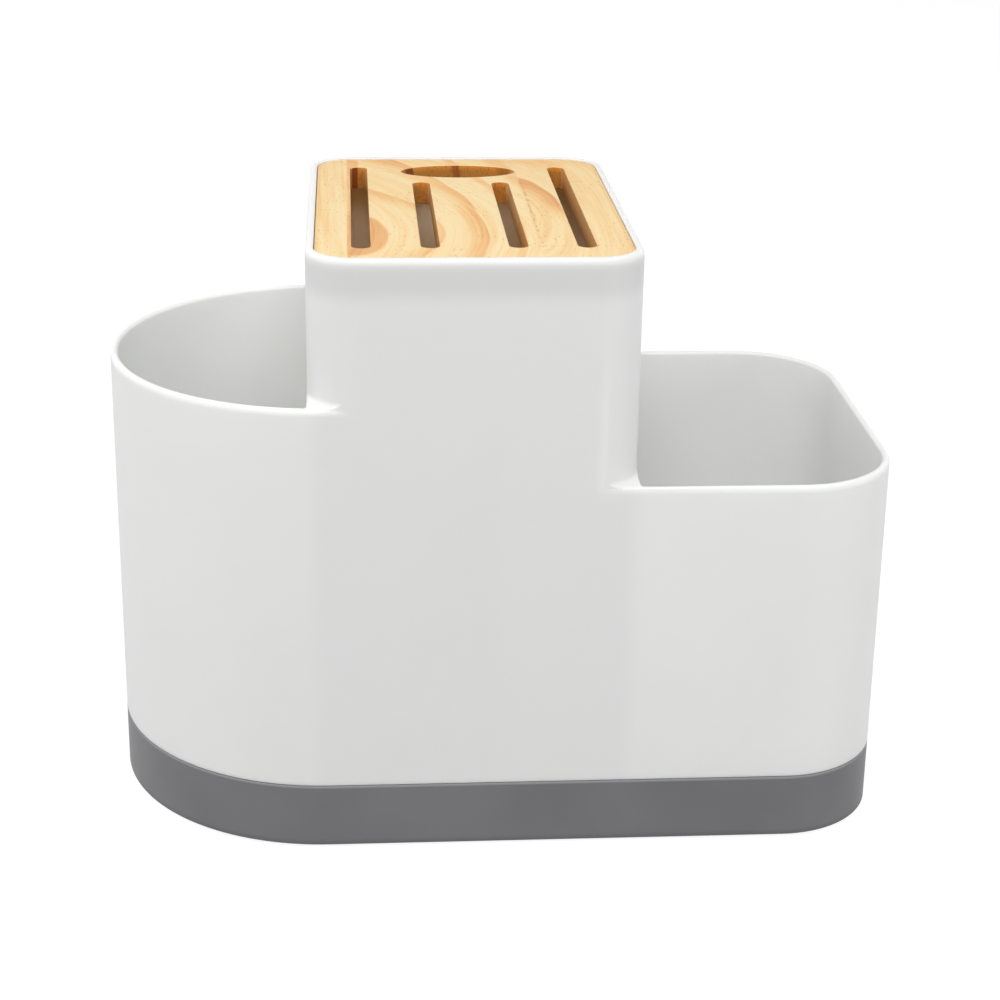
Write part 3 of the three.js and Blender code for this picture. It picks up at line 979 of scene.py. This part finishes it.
def pine():
    nodes = Nodes("pine")
    place = nodes.place(origin=(TOWER_X, 0, INSERT_TOP_Z))
    x, y, z = nodes.split(place)
    jag = nodes.math("SUBTRACT", nodes.noise(place, GLUE_JAG_SCALE, detail=1.0), 0.5)
    jagged_x = nodes.math("ADD", x, nodes.math("MULTIPLY", jag, GLUE_JAG))
    on_right = nodes.step(jagged_x, RIGHT_GLUE_X - RIGHT_GLUE_SOFT, RIGHT_GLUE_X + RIGHT_GLUE_SOFT)
    on_left = nodes.step(x, LEFT_GLUE_X + LEFT_GLUE_SOFT, LEFT_GLUE_X - LEFT_GLUE_SOFT)

    oval = oval_radius(nodes, place, OVAL_HEART, OVAL_STRETCH)
    rings = board_rings(nodes, place, oval, on_left, on_right)
    straight = nodes.math("ADD", x, nodes.math("MULTIPLY", y, STRAIGHT_LEAN))
    from_top = nodes.math("SUBTRACT", y, ARCH_TOP[1])
    bowed = nodes.math("ADD", x, nodes.math("MULTIPLY", square(nodes, from_top), GRAIN_BOW))
    grain = nodes.mix(on_left, nodes.mix(on_right, bowed, oval), straight)
    fine = drawn_out(nodes, grain, y, z, *FINE_LINES)
    broad = drawn_out(nodes, grain, y, z, *BROAD_LINES)

    dark = nodes.math("MAXIMUM", rings, share(nodes, nodes.math("ABSOLUTE", x), SIDE_SPAN, SIDE_DARK))
    dark = nodes.math("ADD", dark, share(nodes, fine, FINE_SPAN, FINE_DARK))
    dark = nodes.math("ADD", dark, share(nodes, broad, BROAD_SPAN, BROAD_DARK))
    dark = nodes.math("ADD", dark, share(nodes, y, BACK_SPAN, BACK_DARK))
    shares = [(0.0, PINE_PALE), (0.5, PINE_MID), (1.0, PINE_BAND), (PINE_DARKEST, PINE_LINE)]
    stops = [(at / PINE_DARKEST, colour) for at, colour in shares]
    colour = nodes.ramp(nodes.math("DIVIDE", dark, PINE_DARKEST), stops)
    dashes = resin_dashes(nodes, place, grain)
    colour = nodes.mix(nodes.math("MULTIPLY", dashes, RESIN_SHARE), colour, PINE_RESIN)
    colour = cut_faces(nodes, place, rings, colour)
    gloss = nodes.math("ADD", nodes.math("MULTIPLY", fine, PINE_GLOSS_SPREAD), PINE_ROUGHNESS)
    height = nodes.math("SUBTRACT", fine, dashes)
    return nodes.finish(colour, gloss, nodes.bump(height, PINE_GRAIN_STRENGTH, PINE_GRAIN_HEIGHT * MM))


# Stage: floor, light and camera

FLOOR_SIZE_M = 60.0
FLOOR_PALE = (0.45, 0.45, 0.45, 1.0)
FLOOR_SHADOW_SHARE = (0.22, 0.22, 0.22, 1.0)
FLOOR_GLOW = 0.88


def seen_directly(nodes):
    """1 for rays from the camera, from a gloss or through glass, else 0."""
    light_path = nodes.add("ShaderNodeLightPath")
    seen = nodes.math("MAXIMUM", light_path.outputs["Is Camera Ray"], light_path.outputs["Is Glossy Ray"])
    return nodes.math("MAXIMUM", seen, light_path.outputs["Is Transmission Ray"])


def floor():
    builder = bmesh.new()
    bmesh.ops.create_grid(builder, x_segments=1, y_segments=1, size=FLOOR_SIZE_M / 2)
    mesh = bpy.data.meshes.new("floor")
    builder.to_mesh(mesh)
    builder.free()
    made = bpy.data.objects.new("floor", mesh)
    bpy.context.scene.collection.objects.link(made)
    nodes = Nodes("pale_floor")
    lit = nodes.add("ShaderNodeBsdfDiffuse")
    lit.inputs["Color"].default_value = FLOOR_PALE
    faint = nodes.add("ShaderNodeBsdfDiffuse")
    faint.inputs["Color"].default_value = FLOOR_SHADOW_SHARE
    glow = nodes.add("ShaderNodeEmission")
    glow.inputs["Strength"].default_value = FLOOR_GLOW
    both = nodes.add("ShaderNodeAddShader")
    nodes.link(faint.outputs[0], both.inputs[0])
    nodes.link(glow.outputs[0], both.inputs[1])
    choose = nodes.add("ShaderNodeMixShader")
    nodes.link(seen_directly(nodes), choose.inputs["Fac"])
    nodes.link(lit.outputs[0], choose.inputs[1])
    nodes.link(both.outputs[0], choose.inputs[2])
    nodes.link(choose.outputs[0], nodes.output.inputs["Surface"])
    made.data.materials.append(nodes.material)


SKY_STRENGTH = 0.44
SKY_COLOUR = (0.99, 1.0, 1.02, 1.0)


def world():
    """Plain even sky."""
    made = bpy.data.worlds.new("studio")
    bpy.context.scene.world = made
    made.use_nodes = True
    background = made.node_tree.nodes["Background"]
    background.inputs["Color"].default_value = SKY_COLOUR
    background.inputs["Strength"].default_value = SKY_STRENGTH


# Softboxes: name, place in metres, width in metres, power in watts
SOFTBOXES = [
    ("softbox_front", (0.0, -1.0, 1.3), 0.8, 9.1),
    ("softbox_front_left", (-0.9, -0.9, 1.2), 0.8, 4.1),
    ("softbox_left", (-1.3, 0.0, 1.2), 0.8, 6.0),
    ("softbox_low_right", (1.3, -0.45, 0.3), 0.8, 4.0),
    ("softbox_back_left", (-1.0, 1.0, 0.4), 0.8, 1.9),
    ("softbox_back_right", (1.0, 1.0, 0.4), 0.8, 2.2),
    ("lamp_over_left", (-0.3, -0.45, 1.5), 0.25, 1.2),
    ("lamp_over_right", (0.3, -0.45, 1.5), 0.25, 1.2),
]
LIGHT_TARGET = (0.0, 0.0, 0.1)


def softboxes():
    for name, place, width, power in SOFTBOXES:
        light = bpy.data.lights.new(name, "AREA")
        light.shape = "DISK"
        light.size = width
        light.energy = power
        made = bpy.data.objects.new(name, light)
        made.location = place
        made.rotation_euler = (Vector(LIGHT_TARGET) - Vector(place)).to_track_quat("-Z", "Y").to_euler()
        bpy.context.scene.collection.objects.link(made)


def camera():
    lens = bpy.data.cameras.new("camera")
    lens.sensor_width = SENSOR_WIDTH
    lens.lens = FOCAL_PIXELS * SENSOR_WIDTH / IMAGE_SIZE
    lens.shift_y = (CENTRE_PIXEL_Y - (IMAGE_SIZE - 1) / 2) / IMAGE_SIZE
    made = bpy.data.objects.new("camera", lens)
    pitch = math.radians(CAMERA_PITCH)
    yaw = math.radians(CAMERA_YAW)
    roll = math.radians(CAMERA_ROLL)
    ahead = Vector((math.sin(yaw) * math.cos(pitch), math.cos(yaw) * math.cos(pitch), -math.sin(pitch)))
    level = Vector((math.cos(yaw), -math.sin(yaw), 0.0))
    above = level.cross(ahead)
    right = math.cos(roll) * level + math.sin(roll) * above
    up = math.cos(roll) * above - math.sin(roll) * level
    turn = Matrix((right, up, -ahead)).transposed().to_4x4()
    made.matrix_world = Matrix.Translation(Vector(CAMERA_PLACE) * MM) @ turn
    bpy.context.scene.collection.objects.link(made)
    bpy.context.scene.camera = made


# Everything put together

def dress(piece, nodes, body, material):
    """Gives a piece its finish and puts it in place of the solids that it stands for."""
    piece.data.materials.clear()
    piece.data.materials.append(material)
    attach(piece, body)
    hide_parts(*nodes)


bpy.context.scene.view_settings.view_transform = "Standard"
camera()
floor()
world()
softboxes()

foot_rubber = rubber()

moulding_nodes = [name for name in frame["nodes"] if name.startswith("caddy_")]
dress(caddy_body(), moulding_nodes, "caddy", white_plastic())
dress(drip_tray(), ["drip_tray"], "tray", grey_plastic())
dress(knife_insert(), ["knife_insert"], "knife_block", pine())
for foot_name in foot_nodes():
    dress(foot(foot_name), [foot_name], "tray", foot_rubber)
